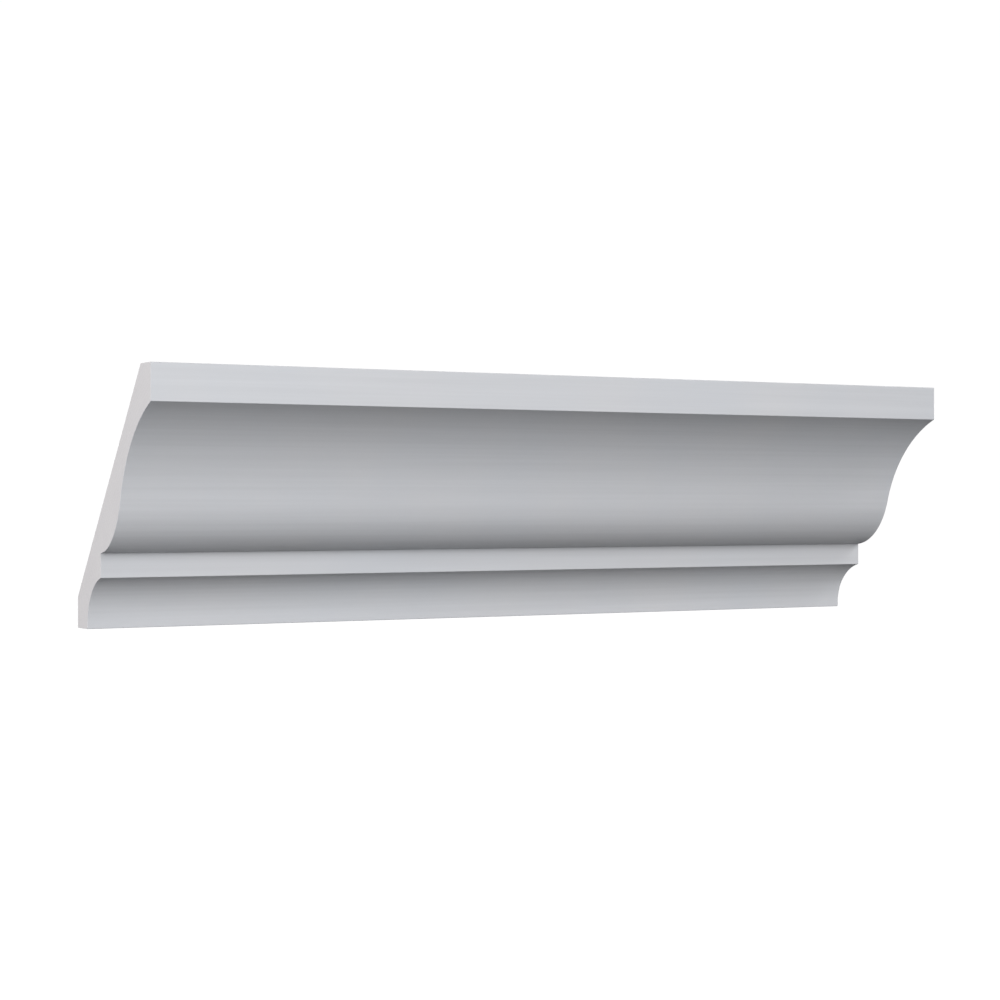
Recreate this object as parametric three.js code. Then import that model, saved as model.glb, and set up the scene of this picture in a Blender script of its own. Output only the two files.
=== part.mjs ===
// A length of cornice moulding, cut square at both ends, made to be fixed across
// the corner between a wall and a ceiling.
//
// Units are millimetres and +Z is up. X runs along the length, the wall is the plane
// Y = 0 and the room is on its -Y side. The origin is the middle of the wall bed, the
// flat foot of the back that lies against the wall.

import * as THREE from "three";

const { degToRad } = THREE.MathUtils;

// Overall size
const LENGTH = 304;
const HEIGHT = 82.5; // drop down the wall
const PROJECTION = 65.1; // reach out along the ceiling

// Back: the wall bed, then a flat slope up to the ceiling bed
const WALL_BED_HEIGHT = 10;
const SPRING_ANGLE = degToRad(38); // slope of the back, measured from the wall

// Front, from the ceiling down: fillet, cyma, strip, cove and toe
const FILLET_HEIGHT = 11.7;
const STRIP_HEIGHT = 7.8;
const STRIP_FOOT_HEIGHT = 16.7; // from the underside up to the strip's lower edge
const STRIP_REACH = 21.7; // from the wall out to the strip's face
const TOE_DEPTH = 9.3; // thickness of the foot that stands on the wall bed

// Cyma: a convex ovolo below, a short straight, and a concave cavetto above
const OVOLO_LEVEL_RADIUS = 19.8; // the ovolo is part of an ellipse
const OVOLO_UPRIGHT_RADIUS = 24.9;
const OVOLO_FOOT_ANGLE = degToRad(5); // slope where it leaves the strip, from level
const CYMA_STEEPEST_ANGLE = degToRad(72); // slope of the straight, from level
const CYMA_STRAIGHT = 3.1;

const COVE_RADIUS = 15.5;

// Straight steps along each curve, counted in pairs
const CURVE_STEP_PAIRS = 14;

// Primed surface
const PRIMER_COLOUR = 0xd1d3d7;
const PRIMER_ROUGHNESS = 0.5;

// Heights of the section's levels, and the back edge of the ceiling bed
const underside = -WALL_BED_HEIGHT / 2;
const ceiling = underside + HEIGHT;
const filletFoot = ceiling - FILLET_HEIGHT;
const stripFoot = underside + STRIP_FOOT_HEIGHT;
const stripTop = stripFoot + STRIP_HEIGHT;
const ceilingBedBack = -(HEIGHT - WALL_BED_HEIGHT) * Math.tan(SPRING_ANGLE);

// Points of the section are (Y, Z). A slope runs up and out into the room, and its
// angle is measured from level.
function alongSlope(angle) {
  return new THREE.Vector2(-Math.cos(angle), Math.sin(angle));
}

function belowSlope(angle) {
  return new THREE.Vector2(-Math.sin(angle), -Math.cos(angle));
}

// The ellipse's own angle where the ovolo has this slope.
function ovoloAngle(slope) {
  const turn = Math.atan((OVOLO_LEVEL_RADIUS / OVOLO_UPRIGHT_RADIUS) * Math.tan(slope));
  return -Math.PI / 2 - turn;
}

// The same place on the ovolo, measured from the ellipse's centre.
function ovoloPoint(slope) {
  const angle = ovoloAngle(slope);
  return new THREE.Vector2(
    OVOLO_LEVEL_RADIUS * Math.cos(angle),
    OVOLO_UPRIGHT_RADIUS * Math.sin(angle),
  );
}

// The cyma, from the fillet's foot down to the strip. The cavetto's radius is the one
// that leaves the straight without a kink and ends on the fillet's lower edge.
function addCyma(outline) {
  const ovoloCentre = new THREE.Vector2(-STRIP_REACH, stripTop)
    .sub(ovoloPoint(OVOLO_FOOT_ANGLE));
  const straightTop = ovoloCentre.clone()
    .add(ovoloPoint(CYMA_STEEPEST_ANGLE))
    .addScaledVector(alongSlope(CYMA_STEEPEST_ANGLE), CYMA_STRAIGHT);

  const filletEdge = new THREE.Vector2(-PROJECTION, filletFoot);
  const chord = filletEdge.clone().sub(straightTop);
  const towardsCentre = belowSlope(CYMA_STEEPEST_ANGLE);
  const cavettoRadius = chord.lengthSq() / (2 * chord.dot(towardsCentre));
  const cavettoCentre = straightTop.clone().addScaledVector(towardsCentre, cavettoRadius);
  const cavettoTop = filletEdge.clone().sub(cavettoCentre).angle();
  const cavettoFoot = Math.PI / 2 - CYMA_STEEPEST_ANGLE;

  outline.absarc(cavettoCentre.x, cavettoCentre.y, cavettoRadius, cavettoTop, cavettoFoot, true);
  outline.absellipse(
    ovoloCentre.x,
    ovoloCentre.y,
    OVOLO_LEVEL_RADIUS,
    OVOLO_UPRIGHT_RADIUS,
    ovoloAngle(CYMA_STEEPEST_ANGLE),
    ovoloAngle(OVOLO_FOOT_ANGLE),
    false,
  );
}

// The cove, from the strip's lower edge down to an upright end on the toe's front edge.
function addCove(outline) {
  const centreY = -TOE_DEPTH - COVE_RADIUS;
  const topAngle = Math.acos((-STRIP_REACH - centreY) / COVE_RADIUS);
  const centreZ = stripFoot - COVE_RADIUS * Math.sin(topAngle);
  outline.absarc(centreY, centreZ, COVE_RADIUS, topAngle, 0, true);
}

// The whole section, anticlockwise. Each arc draws the straight that leads up to it,
// so the fillet, the cyma's straight and the strip need no lines of their own.
function section() {
  const outline = new THREE.Shape();
  outline.moveTo(0, underside);
  outline.lineTo(0, underside + WALL_BED_HEIGHT);
  outline.lineTo(ceilingBedBack, ceiling);
  outline.lineTo(-PROJECTION, ceiling);
  addCyma(outline);
  addCove(outline);
  outline.lineTo(-TOE_DEPTH, underside);
  outline.closePath();
  return outline;
}

// The moulding is the section run along X. Drawn, the section lies in X and Y and is
// extruded along Z; the two quarter turns bring those axes to Y, Z and X.
function corniceMoulding() {
  const geometry = new THREE.ExtrudeGeometry(section(), {
    depth: LENGTH,
    bevelEnabled: false,
    curveSegments: CURVE_STEP_PAIRS,
  });
  const primer = new THREE.MeshStandardMaterial({
    color: PRIMER_COLOUR,
    roughness: PRIMER_ROUGHNESS,
    metalness: 0,
  });
  const mesh = new THREE.Mesh(geometry, primer);
  mesh.name = "cornice_moulding";
  mesh.rotation.set(Math.PI / 2, Math.PI / 2, 0);
  mesh.position.x = -LENGTH / 2;
  return mesh;
}

const cornice = new THREE.Group();
cornice.add(corniceMoulding());

export default cornice;
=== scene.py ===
"""Looks of the cornice moulding length: its finished mesh, materials, floor, light and camera.

Metres, +Z up. X runs along the length, the wall is the plane Y = 0 and the room is on its -Y side.
The section is worked out in millimetres and the finished mesh is scaled to metres.
"""

import math
from collections import namedtuple

import bmesh
import bpy
from mathutils import Matrix, Vector


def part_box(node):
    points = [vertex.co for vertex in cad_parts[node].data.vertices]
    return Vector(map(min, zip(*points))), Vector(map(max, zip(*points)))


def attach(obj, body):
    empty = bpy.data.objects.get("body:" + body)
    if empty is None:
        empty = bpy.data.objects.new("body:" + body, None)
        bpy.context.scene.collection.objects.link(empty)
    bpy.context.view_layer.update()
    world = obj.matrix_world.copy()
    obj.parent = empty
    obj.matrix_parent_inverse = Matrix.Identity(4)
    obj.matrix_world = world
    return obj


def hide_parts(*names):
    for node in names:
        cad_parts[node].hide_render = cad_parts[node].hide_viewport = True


MM = 0.001
NODE = "cornice_moulding"
PIECE = "cornice_moulding_length"

# Section, in millimetres
WALL_BED_HEIGHT = 10
SPRING_ANGLE = math.radians(38)  # slope of the back, from the wall
FILLET_HEIGHT = 11.7
STRIP_HEIGHT = 7.8
STRIP_FOOT_HEIGHT = 16.7
STRIP_REACH = 21.7
TOE_DEPTH = 9.3
OVOLO_LEVEL_RADIUS = 19.8  # the ovolo is part of an ellipse
OVOLO_UPRIGHT_RADIUS = 24.9
OVOLO_FOOT_ANGLE = math.radians(5)  # slope where it leaves the strip, from level
CYMA_STEEPEST_ANGLE = math.radians(72)  # slope of the straight, from level
CYMA_STRAIGHT = 3.1
COVE_RADIUS = 15.5

# Softened edges, in millimetres
ARRIS_RADIUS = 0.25
QUIRK_RADIUS = 0.08  # in a hollow corner
CORNER_STEPS = 6
END_ROUNDING = 0.06
END_STEPS = 3

# Painted shade of a hollow corner, darkened into the primer's colour: its spread in millimetres, and
# the strength of the part below
QUIRK_REACH = 11  # under the overhang
QUIRK_SPILL = 3.6  # down the face below
SPILL_STRENGTH = 0.68  # against the strength under the overhang

# Spacing of the mesh, in millimetres
POINT_SPACING = 0.9
RING_SPACING = 8
EDGE_MARGIN = 0.12  # flat strip beside each softened edge

# Flat map of the skin, in millimetres
MAP_NAME = "OFBake"
MAP_GAP = 3

# Primed face: sizes and depths in metres, shades as shares of the colour
PRIMER_COLOURS = ((0.622, 0.639, 0.674), (0.634, 0.641, 0.666))
PRIMER_ROUGHNESS = (0.40, 0.62)
STREAK_LENGTH = 0.11
STREAK_WIDTH = 0.0014
STREAK_SHADES = (0.94, 1.06)
STREAK_DEPTH = 6e-6
CLOUD_SIZE = 0.045
CLOUD_SHADES = (0.98, 1.02)
PEEL_SIZE = 0.0026
PEEL_DEPTH = 6e-6
STIPPLE_SIZE = 0.0007
STIPPLE_DEPTH = 1.5e-6
ARRIS_SHADES = (1, 1.015)
# Painted shade: the primer's colour darkened near a hollow corner
QUIRK_PAINTED_SHADES = (1, 0.63)

# Bare back
BACK_COLOURS = ((0.650, 0.637, 0.632), (0.668, 0.659, 0.655))
BACK_ROUGHNESS = (0.74, 0.94)
BACK_GLOSS = 0.1
RUB_LENGTH = 0.16
RUB_WIDTH = 0.0022
RUB_SHADES = (0.93, 1.07)
RUB_DEPTH = 3e-5
MOTTLE_SIZE = 0.03
MOTTLE_SHADES = (0.95, 1.05)
GRAIN_SIZE = 0.0011
GRAIN_SHADES = (0.95, 1.05)
GRAIN_DEPTH = 2e-5
PINHOLE_SPACING = 0.008
PINHOLE_RADII = (-0.11, 0.075)  # as shares of the spacing; a cell that draws less than 0 has no hole
PINHOLE_RIM = 0.02
# Painted shade: the colour darkened inside the pinholes
PINHOLE_PAINTED_SHADES = (1, 0.62)
PINHOLE_DEPTH = 2e-4

# Sawn end
END_COLOURS = ((0.650, 0.631, 0.644), (0.654, 0.638, 0.648))
END_ROUGHNESS = (0.62, 0.8)
CELL_SIZE = 0.00045
CELL_SHADES = (1.02, 0.96)
CELL_DEPTH = 1.5e-5
BLOTCH_SIZE = 0.008
BLOTCH_SHADES = (0.975, 1.025)
SAW_CENTRE = (-0.14, -0.06)  # Y and Z of the blade's axis
SAW_MARK_SPACING = 0.0013
SAW_MARK_SHADES = (0.99, 1.01)
SAW_MARK_DEPTH = 1.2e-5

# Ranges of the textures
FULL_RANGE = (0, 1)
NOISE_RANGE = (0.3, 0.7)  # nearly all values of a noise lie between these
WAVE_RATE = 20  # radians of the wave texture for each unit of its scaled distance

# Camera, solved from the photograph's edges
CAMERA_PLACE = (-0.3888, -0.6832, 0.0363)
CAMERA_YAW = math.radians(30)
CAMERA_LENS_MM = 79.05
CAMERA_SENSOR_MM = 36

# Studio: each light's azimuth from the front and height in degrees, and its watts
LIGHTS = {
    "key": (-30, 10, 17.8),
    "upper_right": (50, 32, 8.2),
    "lower_right": (30, -45, 2.1),
    "left_end": (-105, 10, 12.2),
    "right_end": (108, 5, 11.0),
    "behind": (180, 38, 10.5),
}
LIGHT_DISTANCE = 1.5
LIGHT_SIZE = 0.8
WHITE = (1, 1, 1, 1)
AMBIENT = 0.05
BACKDROP = 1.02  # just past white, so that floor and backdrop show no seam
FLOOR_COLOUR = (0.9, 0.9, 0.9, 1)
FLOOR_DROP = 1.4
FLOOR_RADIUS = 40
FLOOR_SIDES = 96

# A point of the section: its place, its side, 1 on a softened edge, and its share of the painted
# shade near hollow corners
SectionPoint = namedtuple("SectionPoint", "place side arris quirk")


# Section

def below_slope(angle):
    """Unit (Y, Z) vector square to a slope that runs up and out into the room, on its lower side."""
    return Vector((-math.sin(angle), -math.cos(angle)))


def along_slope(angle):
    """Unit (Y, Z) vector up the same slope."""
    return Vector((-math.cos(angle), math.sin(angle)))


def ellipse_arc(centre, level, upright, start, end):
    """Points of an ellipse's arc, both ends included."""
    steps = math.ceil(abs(end - start) * max(level, upright) / POINT_SPACING)
    angles = [start + (end - start) * i / steps for i in range(steps + 1)]
    return [centre + Vector((level * math.cos(a), upright * math.sin(a))) for a in angles]


def arc(centre, radius, start, end):
    """Points of a round arc, both ends included."""
    return ellipse_arc(centre, radius, radius, start, end)


def straight(start, end):
    """Points of a straight, both ends included."""
    steps = math.ceil((end - start).length / POINT_SPACING)
    return [start.lerp(end, i / steps) for i in range(steps + 1)]


def ovolo_angle(slope):
    """The ellipse's own angle where the ovolo has this slope."""
    turn = math.atan(OVOLO_LEVEL_RADIUS / OVOLO_UPRIGHT_RADIUS * math.tan(slope))
    return -math.pi / 2 - turn


def ovolo(strip_top):
    """The ovolo, from the cyma's straight down to the strip."""
    radii = OVOLO_LEVEL_RADIUS, OVOLO_UPRIGHT_RADIUS
    turns = ovolo_angle(CYMA_STEEPEST_ANGLE), ovolo_angle(OVOLO_FOOT_ANGLE)
    about_centre = ellipse_arc(Vector((0, 0)), *radii, *turns)
    centre = strip_top - about_centre[-1]
    return [centre + point for point in about_centre]


def cyma(fillet_foot, strip_top):
    """The cavetto, the straight and the ovolo, from the fillet's foot down to the strip."""
    round_foot = ovolo(strip_top)
    straight_foot = round_foot[0]
    straight_top = straight_foot + CYMA_STRAIGHT * along_slope(CYMA_STEEPEST_ANGLE)
    side = below_slope(CYMA_STEEPEST_ANGLE)
    chord = fillet_foot - straight_top
    radius = chord.length_squared / (2 * chord.dot(side))
    centre = straight_top + radius * side
    top = fillet_foot - centre
    cavetto = arc(centre, radius, math.atan2(top.y, top.x), math.pi / 2 - CYMA_STEEPEST_ANGLE)
    return cavetto[:-1] + straight(straight_top, straight_foot)[:-1] + round_foot


def cove(strip_foot, toe):
    """The cove, from the strip's foot round to upright, and down to the toe."""
    centre_y = toe.x - COVE_RADIUS
    top = math.acos((strip_foot.x - centre_y) / COVE_RADIUS)
    centre = Vector((centre_y, strip_foot.y - COVE_RADIUS * math.sin(top)))
    curve = arc(centre, COVE_RADIUS, top, 0)
    return curve[:-1] + straight(curve[-1], toe)


def stretches(low, high):
    """The section's smooth stretches with their sides, as (Y, Z), anticlockwise and end to end."""
    heel = Vector((high.y, low.z))
    bed_top = heel + Vector((0, WALL_BED_HEIGHT))
    ceiling_back = Vector((bed_top.x - (high.z - bed_top.y) * math.tan(SPRING_ANGLE), high.z))
    ceiling_front = Vector((low.y, high.z))
    fillet_foot = ceiling_front - Vector((0, FILLET_HEIGHT))
    strip_foot = heel + Vector((-STRIP_REACH, STRIP_FOOT_HEIGHT))
    strip_top = strip_foot + Vector((0, STRIP_HEIGHT))
    toe = heel - Vector((TOE_DEPTH, 0))
    return [
        ("back", straight(heel, bed_top)),
        ("back", straight(bed_top, ceiling_back)),
        ("back", straight(ceiling_back, ceiling_front)),
        ("face", straight(ceiling_front, fillet_foot)),
        ("face", cyma(fillet_foot, strip_top)),
        ("face", straight(strip_top, strip_foot)),
        ("face", cove(strip_foot, toe)),
        ("face", straight(toe, heel)),
    ]


def eased_corner(before, after):
    """The small round between two stretches: its turn, its tangent length and its inner points."""
    corner = after[0]
    coming = (corner - before[-2]).normalized()
    going = (after[1] - corner).normalized()
    turn = math.atan2(coming.cross(going), coming.dot(going))
    radius = ARRIS_RADIUS if turn > 0 else QUIRK_RADIUS
    tangent = radius * math.tan(abs(turn) / 2)
    square = Vector((-coming.y, coming.x)) * math.copysign(radius, turn)
    centre = corner - coming * tangent + square
    turns = [turn * i / CORNER_STEPS for i in range(1, CORNER_STEPS)]
    inner = [centre + Matrix.Rotation(angle, 2) @ -square for angle in turns]
    return turn, tangent, inner


def painted_quirk_shade_share(place, hollows):
    """How strongly the painted shade of the nearest hollow corner darkens this place, fading to 0
    away from it.
    """
    shares = []
    for hollow in hollows:
        overhangs = place.y >= hollow.y
        reach = QUIRK_REACH if overhangs else QUIRK_SPILL
        strength = 1 if overhangs else SPILL_STRENGTH
        shares.append(strength * max(0, 1 - (place - hollow).length / reach) ** 2)
    return max(shares)


def section(low, high):
    """The closed section with eased corners, as SectionPoints."""
    runs = stretches(low, high)
    outline = []
    hollows = []
    for i, (side, points) in enumerate(runs):
        turn, start, inner = eased_corner(runs[i - 1][1], points)
        next_turn, end, _ = eased_corner(points, runs[(i + 1) % len(runs)][1])
        if turn < 0:
            hollows.append(points[0])
        first = (points[1] - points[0]).normalized()
        last = (points[-2] - points[-1]).normalized()
        outline += [(p, side, turn > 0) for p in inner]
        outline += [(points[0] + first * start, side, turn > 0)]
        outline += [(points[0] + first * (start + EDGE_MARGIN), side, False)]
        outline += [(p, side, False) for p in points[1:-1]]
        outline += [(points[-1] + last * (end + EDGE_MARGIN), side, False)]
        outline += [(points[-1] + last * end, side, next_turn > 0)]
    return [SectionPoint(p, side, float(edge), painted_quirk_shade_share(p, hollows)) for p, side, edge in outline]


def inset(points, amount):
    """The closed section drawn in by amount, for the eased edge round a cut end."""
    moved = []
    for i, point in enumerate(points):
        chord = (points[(i + 1) % len(points)] - points[i - 1]).normalized()
        moved.append(point + amount * Vector((-chord.y, chord.x)))
    return moved


# Mesh

def ring_places(length):
    """(X, inset) of each ring from one cut end to the other."""
    half = length / 2
    eased = []
    for i in range(END_STEPS + 1):
        angle = math.pi / 2 * (1 - i / END_STEPS)
        eased.append((END_ROUNDING * (1 - math.sin(angle)), END_ROUNDING * (1 - math.cos(angle))))
    inner_start = END_ROUNDING + EDGE_MARGIN
    inner_length = length - 2 * inner_start
    steps = round(inner_length / RING_SPACING)
    inner = [(inner_start + inner_length * i / steps, 0) for i in range(steps + 1)]
    far = [(length - x, amount) for x, amount in reversed(eased)]
    return [(x - half, amount) for x, amount in eased + inner + far]


def add_rings(bm, outline, length):
    """Rings of vertices along the length, marked on the softened edges, where the primer is lighter,
    and with the painted shade near hollow corners.
    """
    arris = bm.verts.layers.float.new("arris")
    quirk = bm.verts.layers.float.new("quirk")
    points = [point.place for point in outline]
    rings = []
    for x, amount in ring_places(length):
        ring = [bm.verts.new((x, p.x, p.y)) for p in inset(points, amount)]
        for vertex, point in zip(ring, outline):
            vertex[arris] = 1.0 if amount else point.arris
            vertex[quirk] = point.quirk
        rings.append(ring)
    return rings


def add_sides(bm, rings, outline, slots):
    """The long faces, from each ring to the next."""
    count = len(outline)
    for here, there in zip(rings, rings[1:]):
        for i in range(count):
            j = (i + 1) % count
            face = bm.faces.new((here[i], here[j], there[j], there[i]))
            face.smooth = True
            face.material_index = slots[outline[i].side]


def add_ends(bm, rings, slots):
    """The two flat cut ends."""
    ends = [bm.faces.new(list(reversed(rings[0]))), bm.faces.new(rings[-1])]
    for end in ends:
        end.material_index = slots["end"]
        end.normal_update()
        for edge in end.edges:
            edge.smooth = False
    bmesh.ops.triangulate(bm, faces=ends)


def map_skin(bm, points, low, high, slots):
    """Lays the skin out flat: the long sides as one sheet, and the two ends beside it."""
    layer = bm.loops.layers.uv.new(MAP_NAME)
    count = len(points)
    steps = [(points[(i + 1) % count] - p).length for i, p in enumerate(points)]
    girth = sum(steps)
    along = [sum(steps[:i]) for i in range(count + 1)]
    size = max(high.x - low.x, girth + high.y - low.y + MAP_GAP) + 2 * MAP_GAP
    far_end_shift = high.z - low.z + MAP_GAP
    for face in bm.faces:
        rows = [loop.vert.index % count for loop in face.loops]
        wraps = max(rows) - min(rows) > 1
        for loop, row in zip(face.loops, rows):
            place = loop.vert.co
            if face.material_index == slots["end"]:
                u = place.z - low.z + (far_end_shift if place.x > 0 else 0)
                v = girth + MAP_GAP + place.y - low.y
            else:
                u = place.x - low.x
                v = along[count if wraps and row == 0 else row]
            loop[layer].uv = ((u + MAP_GAP) / size, (v + MAP_GAP) / size)


def moulding_mesh(low, high, slots):
    """The section run along X. slots gives the material index of each side."""
    outline = section(low, high)
    bm = bmesh.new()
    rings = add_rings(bm, outline, high.x - low.x)
    add_sides(bm, rings, outline, slots)
    add_ends(bm, rings, slots)
    bmesh.ops.recalc_face_normals(bm, faces=bm.faces)
    bm.verts.index_update()
    map_skin(bm, [point.place for point in outline], low, high, slots)
    mesh = bpy.data.meshes.new(PIECE)
    bm.to_mesh(mesh)
    bm.free()
    mesh.transform(Matrix.Scale(MM, 4))
    return mesh


def link(name, data):
    """A new object in the scene."""
    thing = bpy.data.objects.new(name, data)
    bpy.context.scene.collection.objects.link(thing)
    return thing


# Nodes of the materials

def new_material(name):
    """A material and its node tree."""
    material = bpy.data.materials.new(name)
    material.use_nodes = True
    return material, material.node_tree


def connect(tree, node, inputs):
    """Gives a node its inputs, each another node's output or a plain value."""
    for name, value in inputs.items():
        if isinstance(value, bpy.types.NodeSocket):
            tree.links.new(value, node.inputs[name])
        else:
            node.inputs[name].default_value = value


def feed(tree, inputs):
    """Gives the material's shader its inputs."""
    connect(tree, tree.nodes["Principled BSDF"], inputs)


def add(tree, kind, inputs, **settings):
    """A new node of this kind."""
    node = tree.nodes.new(kind)
    for name, value in settings.items():
        setattr(node, name, value)
    connect(tree, node, inputs)
    return node


def object_place(tree):
    """Where a point lies on the object, in metres."""
    return add(tree, "ShaderNodeTexCoord", {}).outputs["Object"]


def attribute(tree, name):
    """A value that the mesh holds."""
    return add(tree, "ShaderNodeAttribute", {}, attribute_name=name).outputs["Fac"]


def noise(tree, place, size, detail=2):
    """A value about 0.5 that wanders over lumps of this size in metres."""
    inputs = {"Vector": place, "Scale": 1 / size, "Detail": detail}
    return add(tree, "ShaderNodeTexNoise", inputs).outputs["Fac"]


def streaks_along(tree, place, length, width):
    """A noise value drawn out along X."""
    scale = (1 / length, 1 / width, 1 / width)
    drawn = add(tree, "ShaderNodeMapping", {"Vector": place, "Scale": scale}).outputs["Vector"]
    return noise(tree, drawn, 1, detail=3)


def span(tree, value, to_range, from_range=FULL_RANGE):
    """The value stretched from one range to another, and held at its ends."""
    inputs = {"Value": value}
    inputs["From Min"], inputs["From Max"] = from_range
    inputs["To Min"], inputs["To Max"] = to_range
    return add(tree, "ShaderNodeMapRange", inputs).outputs["Result"]


def flipped(tree, value):
    """0 where the value is 1, and 1 where it is 0."""
    return span(tree, value, tuple(reversed(FULL_RANGE)))


def multiply(tree, *values):
    """The product of all the values."""
    result = values[0]
    for value in values[1:]:
        inputs = {0: result, 1: value}
        result = add(tree, "ShaderNodeMath", inputs, operation="MULTIPLY").outputs["Value"]
    return result


def tinted(tree, value, colours, shade):
    """A colour between two by the value, then made lighter or darker by shade."""
    ramp = add(tree, "ShaderNodeValToRGB", {"Fac": value})
    for stop, colour, position in zip(ramp.color_ramp.elements, colours, NOISE_RANGE):
        stop.color = (*colour, 1)
        stop.position = position
    inputs = {"Vector": ramp.outputs["Color"], "Scale": shade}
    return add(tree, "ShaderNodeVectorMath", inputs, operation="SCALE").outputs["Vector"]


def bumps(tree, heights):
    """One normal from several heights, each with its depth in metres."""
    normal = None
    for height, depth in heights:
        inputs = {"Height": height, "Distance": depth}
        if normal:
            inputs["Normal"] = normal
        normal = add(tree, "ShaderNodeBump", inputs).outputs["Normal"]
    return normal


def scattered_holes(tree, place):
    """1 in small round holes of different sizes, at some of the cells of a loose grid."""
    cells = add(tree, "ShaderNodeTexVoronoi", {"Vector": place, "Scale": 1 / PINHOLE_SPACING})
    draw = add(tree, "ShaderNodeSeparateColor", {"Color": cells.outputs["Color"]})
    radius = span(tree, draw.outputs["Red"], PINHOLE_RADII)
    inputs = {0: radius, 1: cells.outputs["Distance"]}
    inside = add(tree, "ShaderNodeMath", inputs, operation="SUBTRACT").outputs["Value"]
    return span(tree, inside, FULL_RANGE, (0, PINHOLE_RIM))


def saw_marks(tree, place):
    """A wave in rings about the blade's axis, which lies along X."""
    to_axis = (0, -SAW_CENTRE[0], -SAW_CENTRE[1])
    from_axis = add(tree, "ShaderNodeMapping", {"Vector": place, "Location": to_axis})
    inputs = {
        "Vector": from_axis.outputs["Vector"],
        "Scale": math.tau / (WAVE_RATE * SAW_MARK_SPACING),
        "Distortion": 3,
        "Detail": 3,
        "Detail Scale": 0.4,
    }
    rings = {"wave_type": "RINGS", "rings_direction": "X"}
    return add(tree, "ShaderNodeTexWave", inputs, **rings).outputs["Fac"]


# Materials

def primed_face():
    """Sprayed satin primer: faint streaks along the length, clouds, a fine peel, lighter softened
    edges, and painted shade darkened into the colour near hollow corners.
    """
    material, tree = new_material("primed_face")
    place = object_place(tree)
    streaks = streaks_along(tree, place, STREAK_LENGTH, STREAK_WIDTH)
    clouds = noise(tree, place, CLOUD_SIZE, detail=3)
    peel = noise(tree, place, PEEL_SIZE)
    stipple = noise(tree, place, STIPPLE_SIZE)
    shade = multiply(
        tree,
        span(tree, streaks, STREAK_SHADES),
        span(tree, clouds, CLOUD_SHADES),
        span(tree, attribute(tree, "arris"), ARRIS_SHADES),
        # painted shade, darkened into the colour near hollow corners
        span(tree, attribute(tree, "quirk"), QUIRK_PAINTED_SHADES),
    )
    relief = [(streaks, STREAK_DEPTH), (peel, PEEL_DEPTH), (stipple, STIPPLE_DEPTH)]
    feed(tree, {
        "Base Color": tinted(tree, clouds, PRIMER_COLOURS, shade),
        "Roughness": span(tree, peel, PRIMER_ROUGHNESS),
        "Normal": bumps(tree, relief),
    })
    return material


def bare_back():
    """Plain moulded skin, rougher and warmer: rubbed along the length, mottled, with pinholes whose
    colour is darkened as painted shade inside them.
    """
    material, tree = new_material("bare_back")
    place = object_place(tree)
    rubbing = streaks_along(tree, place, RUB_LENGTH, RUB_WIDTH)
    mottle = noise(tree, place, MOTTLE_SIZE, detail=4)
    grain = noise(tree, place, GRAIN_SIZE, detail=3)
    pinholes = scattered_holes(tree, place)
    shade = multiply(
        tree,
        span(tree, rubbing, RUB_SHADES),
        span(tree, mottle, MOTTLE_SHADES),
        span(tree, grain, GRAIN_SHADES),
        # painted shade inside the pinholes
        span(tree, pinholes, PINHOLE_PAINTED_SHADES),
    )
    relief = [(rubbing, RUB_DEPTH), (grain, GRAIN_DEPTH), (flipped(tree, pinholes), PINHOLE_DEPTH)]
    feed(tree, {
        "Base Color": tinted(tree, mottle, BACK_COLOURS, shade),
        "Roughness": span(tree, grain, BACK_ROUGHNESS),
        "Specular IOR Level": BACK_GLOSS,
        "Normal": bumps(tree, relief),
    })
    return material


def sawn_end():
    """Cut across: fine closed cells, and faint arcs left by the saw."""
    material, tree = new_material("sawn_end")
    place = object_place(tree)
    voronoi = add(tree, "ShaderNodeTexVoronoi", {"Vector": place, "Scale": 1 / CELL_SIZE})
    cells = voronoi.outputs["Distance"]
    blotches = noise(tree, place, BLOTCH_SIZE, detail=3)
    arcs = saw_marks(tree, place)
    shade = multiply(
        tree,
        span(tree, cells, CELL_SHADES),
        span(tree, blotches, BLOTCH_SHADES),
        span(tree, arcs, SAW_MARK_SHADES),
    )
    relief = [(arcs, SAW_MARK_DEPTH), (flipped(tree, cells), CELL_DEPTH)]
    feed(tree, {
        "Base Color": tinted(tree, blotches, END_COLOURS, shade),
        "Roughness": span(tree, cells, END_ROUGHNESS),
        "Normal": bumps(tree, relief),
    })
    return material


# Studio

def make_camera():
    """A level camera that looks along the photograph's view."""
    data = bpy.data.cameras.new("camera")
    data.lens = CAMERA_LENS_MM
    data.sensor_width = CAMERA_SENSOR_MM
    data.clip_end = 2 * FLOOR_RADIUS
    camera = link("camera", data)
    camera.location = CAMERA_PLACE
    camera.rotation_euler = (math.pi / 2, 0, -CAMERA_YAW)
    bpy.context.scene.camera = camera


def make_floor(underside):
    """A wide white disc well below the moulding. It gives the moulding no light."""
    bm = bmesh.new()
    bmesh.ops.create_circle(bm, cap_ends=True, segments=FLOOR_SIDES, radius=FLOOR_RADIUS)
    mesh = bpy.data.meshes.new("floor")
    bm.to_mesh(mesh)
    bm.free()
    floor = link("floor", mesh)
    floor.location.z = underside - FLOOR_DROP
    material, tree = new_material("pale_floor")
    feed(tree, {
        "Base Color": FLOOR_COLOUR,
        "Emission Color": WHITE,
        "Emission Strength": BACKDROP,
    })
    floor.data.materials.append(material)
    floor.visible_diffuse = False
    floor.visible_glossy = False


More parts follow.
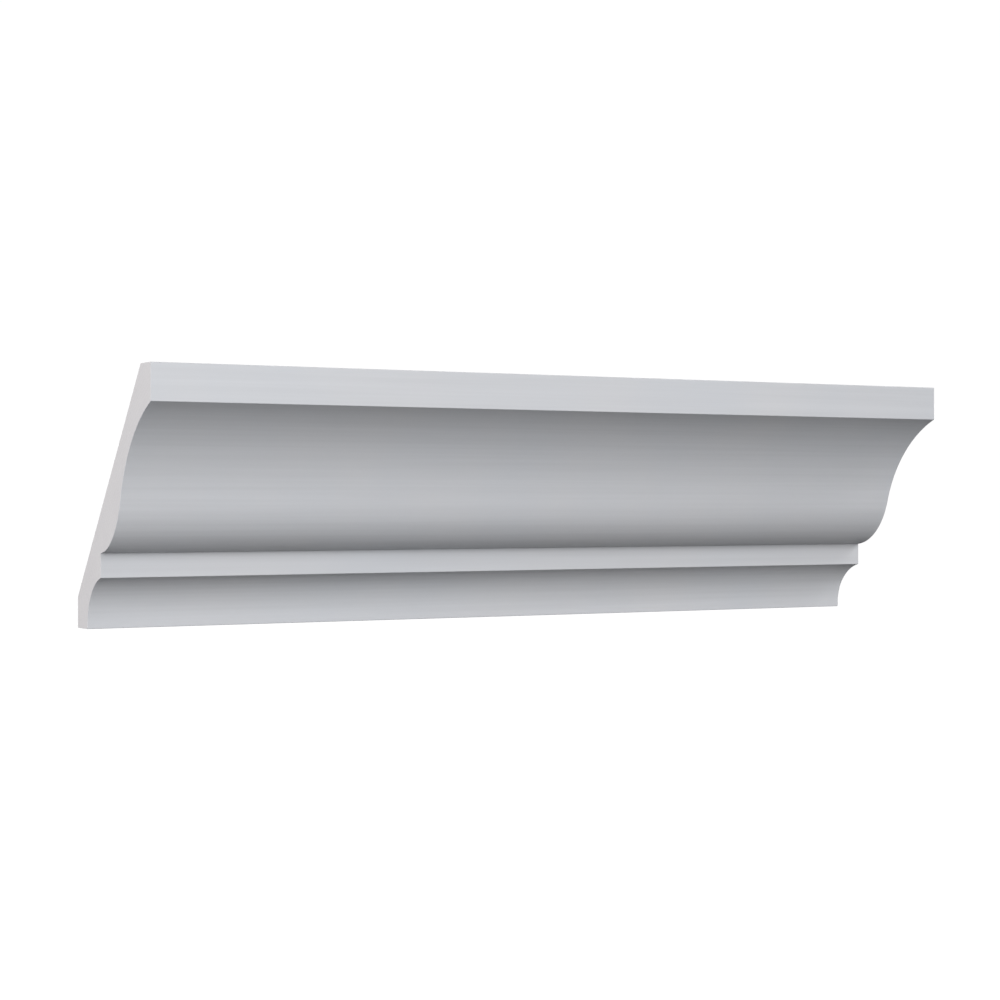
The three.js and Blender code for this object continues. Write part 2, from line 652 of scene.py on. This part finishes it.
def make_world():
    """A white backdrop, which lights the moulding only as strongly as AMBIENT."""
    world = bpy.data.worlds.new("studio")
    bpy.context.scene.world = world
    world.use_nodes = True
    tree = world.node_tree
    ambient = tree.nodes["Background"]
    connect(tree, ambient, {"Color": WHITE, "Strength": AMBIENT})
    white = add(tree, "ShaderNodeBackground", {"Color": WHITE, "Strength": BACKDROP})
    seen = add(tree, "ShaderNodeLightPath", {}).outputs["Is Camera Ray"]
    shown = {"Fac": seen, 1: ambient.outputs["Background"], 2: white.outputs["Background"]}
    mix = add(tree, "ShaderNodeMixShader", shown)
    connect(tree, tree.nodes["World Output"], {"Surface": mix.outputs["Shader"]})


def make_light(name, target, azimuth, height, watts):
    """A soft round light that looks at the target."""
    data = bpy.data.lights.new(name, "AREA")
    data.shape = "DISK"
    data.size = LIGHT_SIZE
    data.energy = watts
    light = link(name, data)
    light.visible_camera = False
    level = math.cos(height)
    towards = Vector((math.sin(azimuth) * level, -math.cos(azimuth) * level, math.sin(height)))
    light.location = target + LIGHT_DISTANCE * towards
    light.rotation_euler = (-towards).to_track_quat("-Z", "Y").to_euler()


# Scene

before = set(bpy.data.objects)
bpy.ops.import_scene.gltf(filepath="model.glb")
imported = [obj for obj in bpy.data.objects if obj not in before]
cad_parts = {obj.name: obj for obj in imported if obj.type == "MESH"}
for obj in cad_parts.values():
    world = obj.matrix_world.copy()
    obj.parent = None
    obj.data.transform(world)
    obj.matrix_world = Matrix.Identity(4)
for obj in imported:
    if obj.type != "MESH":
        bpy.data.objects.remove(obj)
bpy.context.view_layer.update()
low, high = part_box(NODE)

finishes = {"face": primed_face(), "back": bare_back(), "end": sawn_end()}
slots = {side: index for index, side in enumerate(finishes)}
moulding = link(PIECE, moulding_mesh(low / MM, high / MM, slots))
for material in finishes.values():
    moulding.data.materials.append(material)
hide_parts(NODE)
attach(moulding, "root")

make_camera()
make_floor(low.z)
make_world()
for name, (azimuth, height, watts) in LIGHTS.items():
    make_light(name, (low + high) / 2, math.radians(azimuth), math.radians(height), watts)
bpy.context.scene.view_settings.view_transform = "Standard"
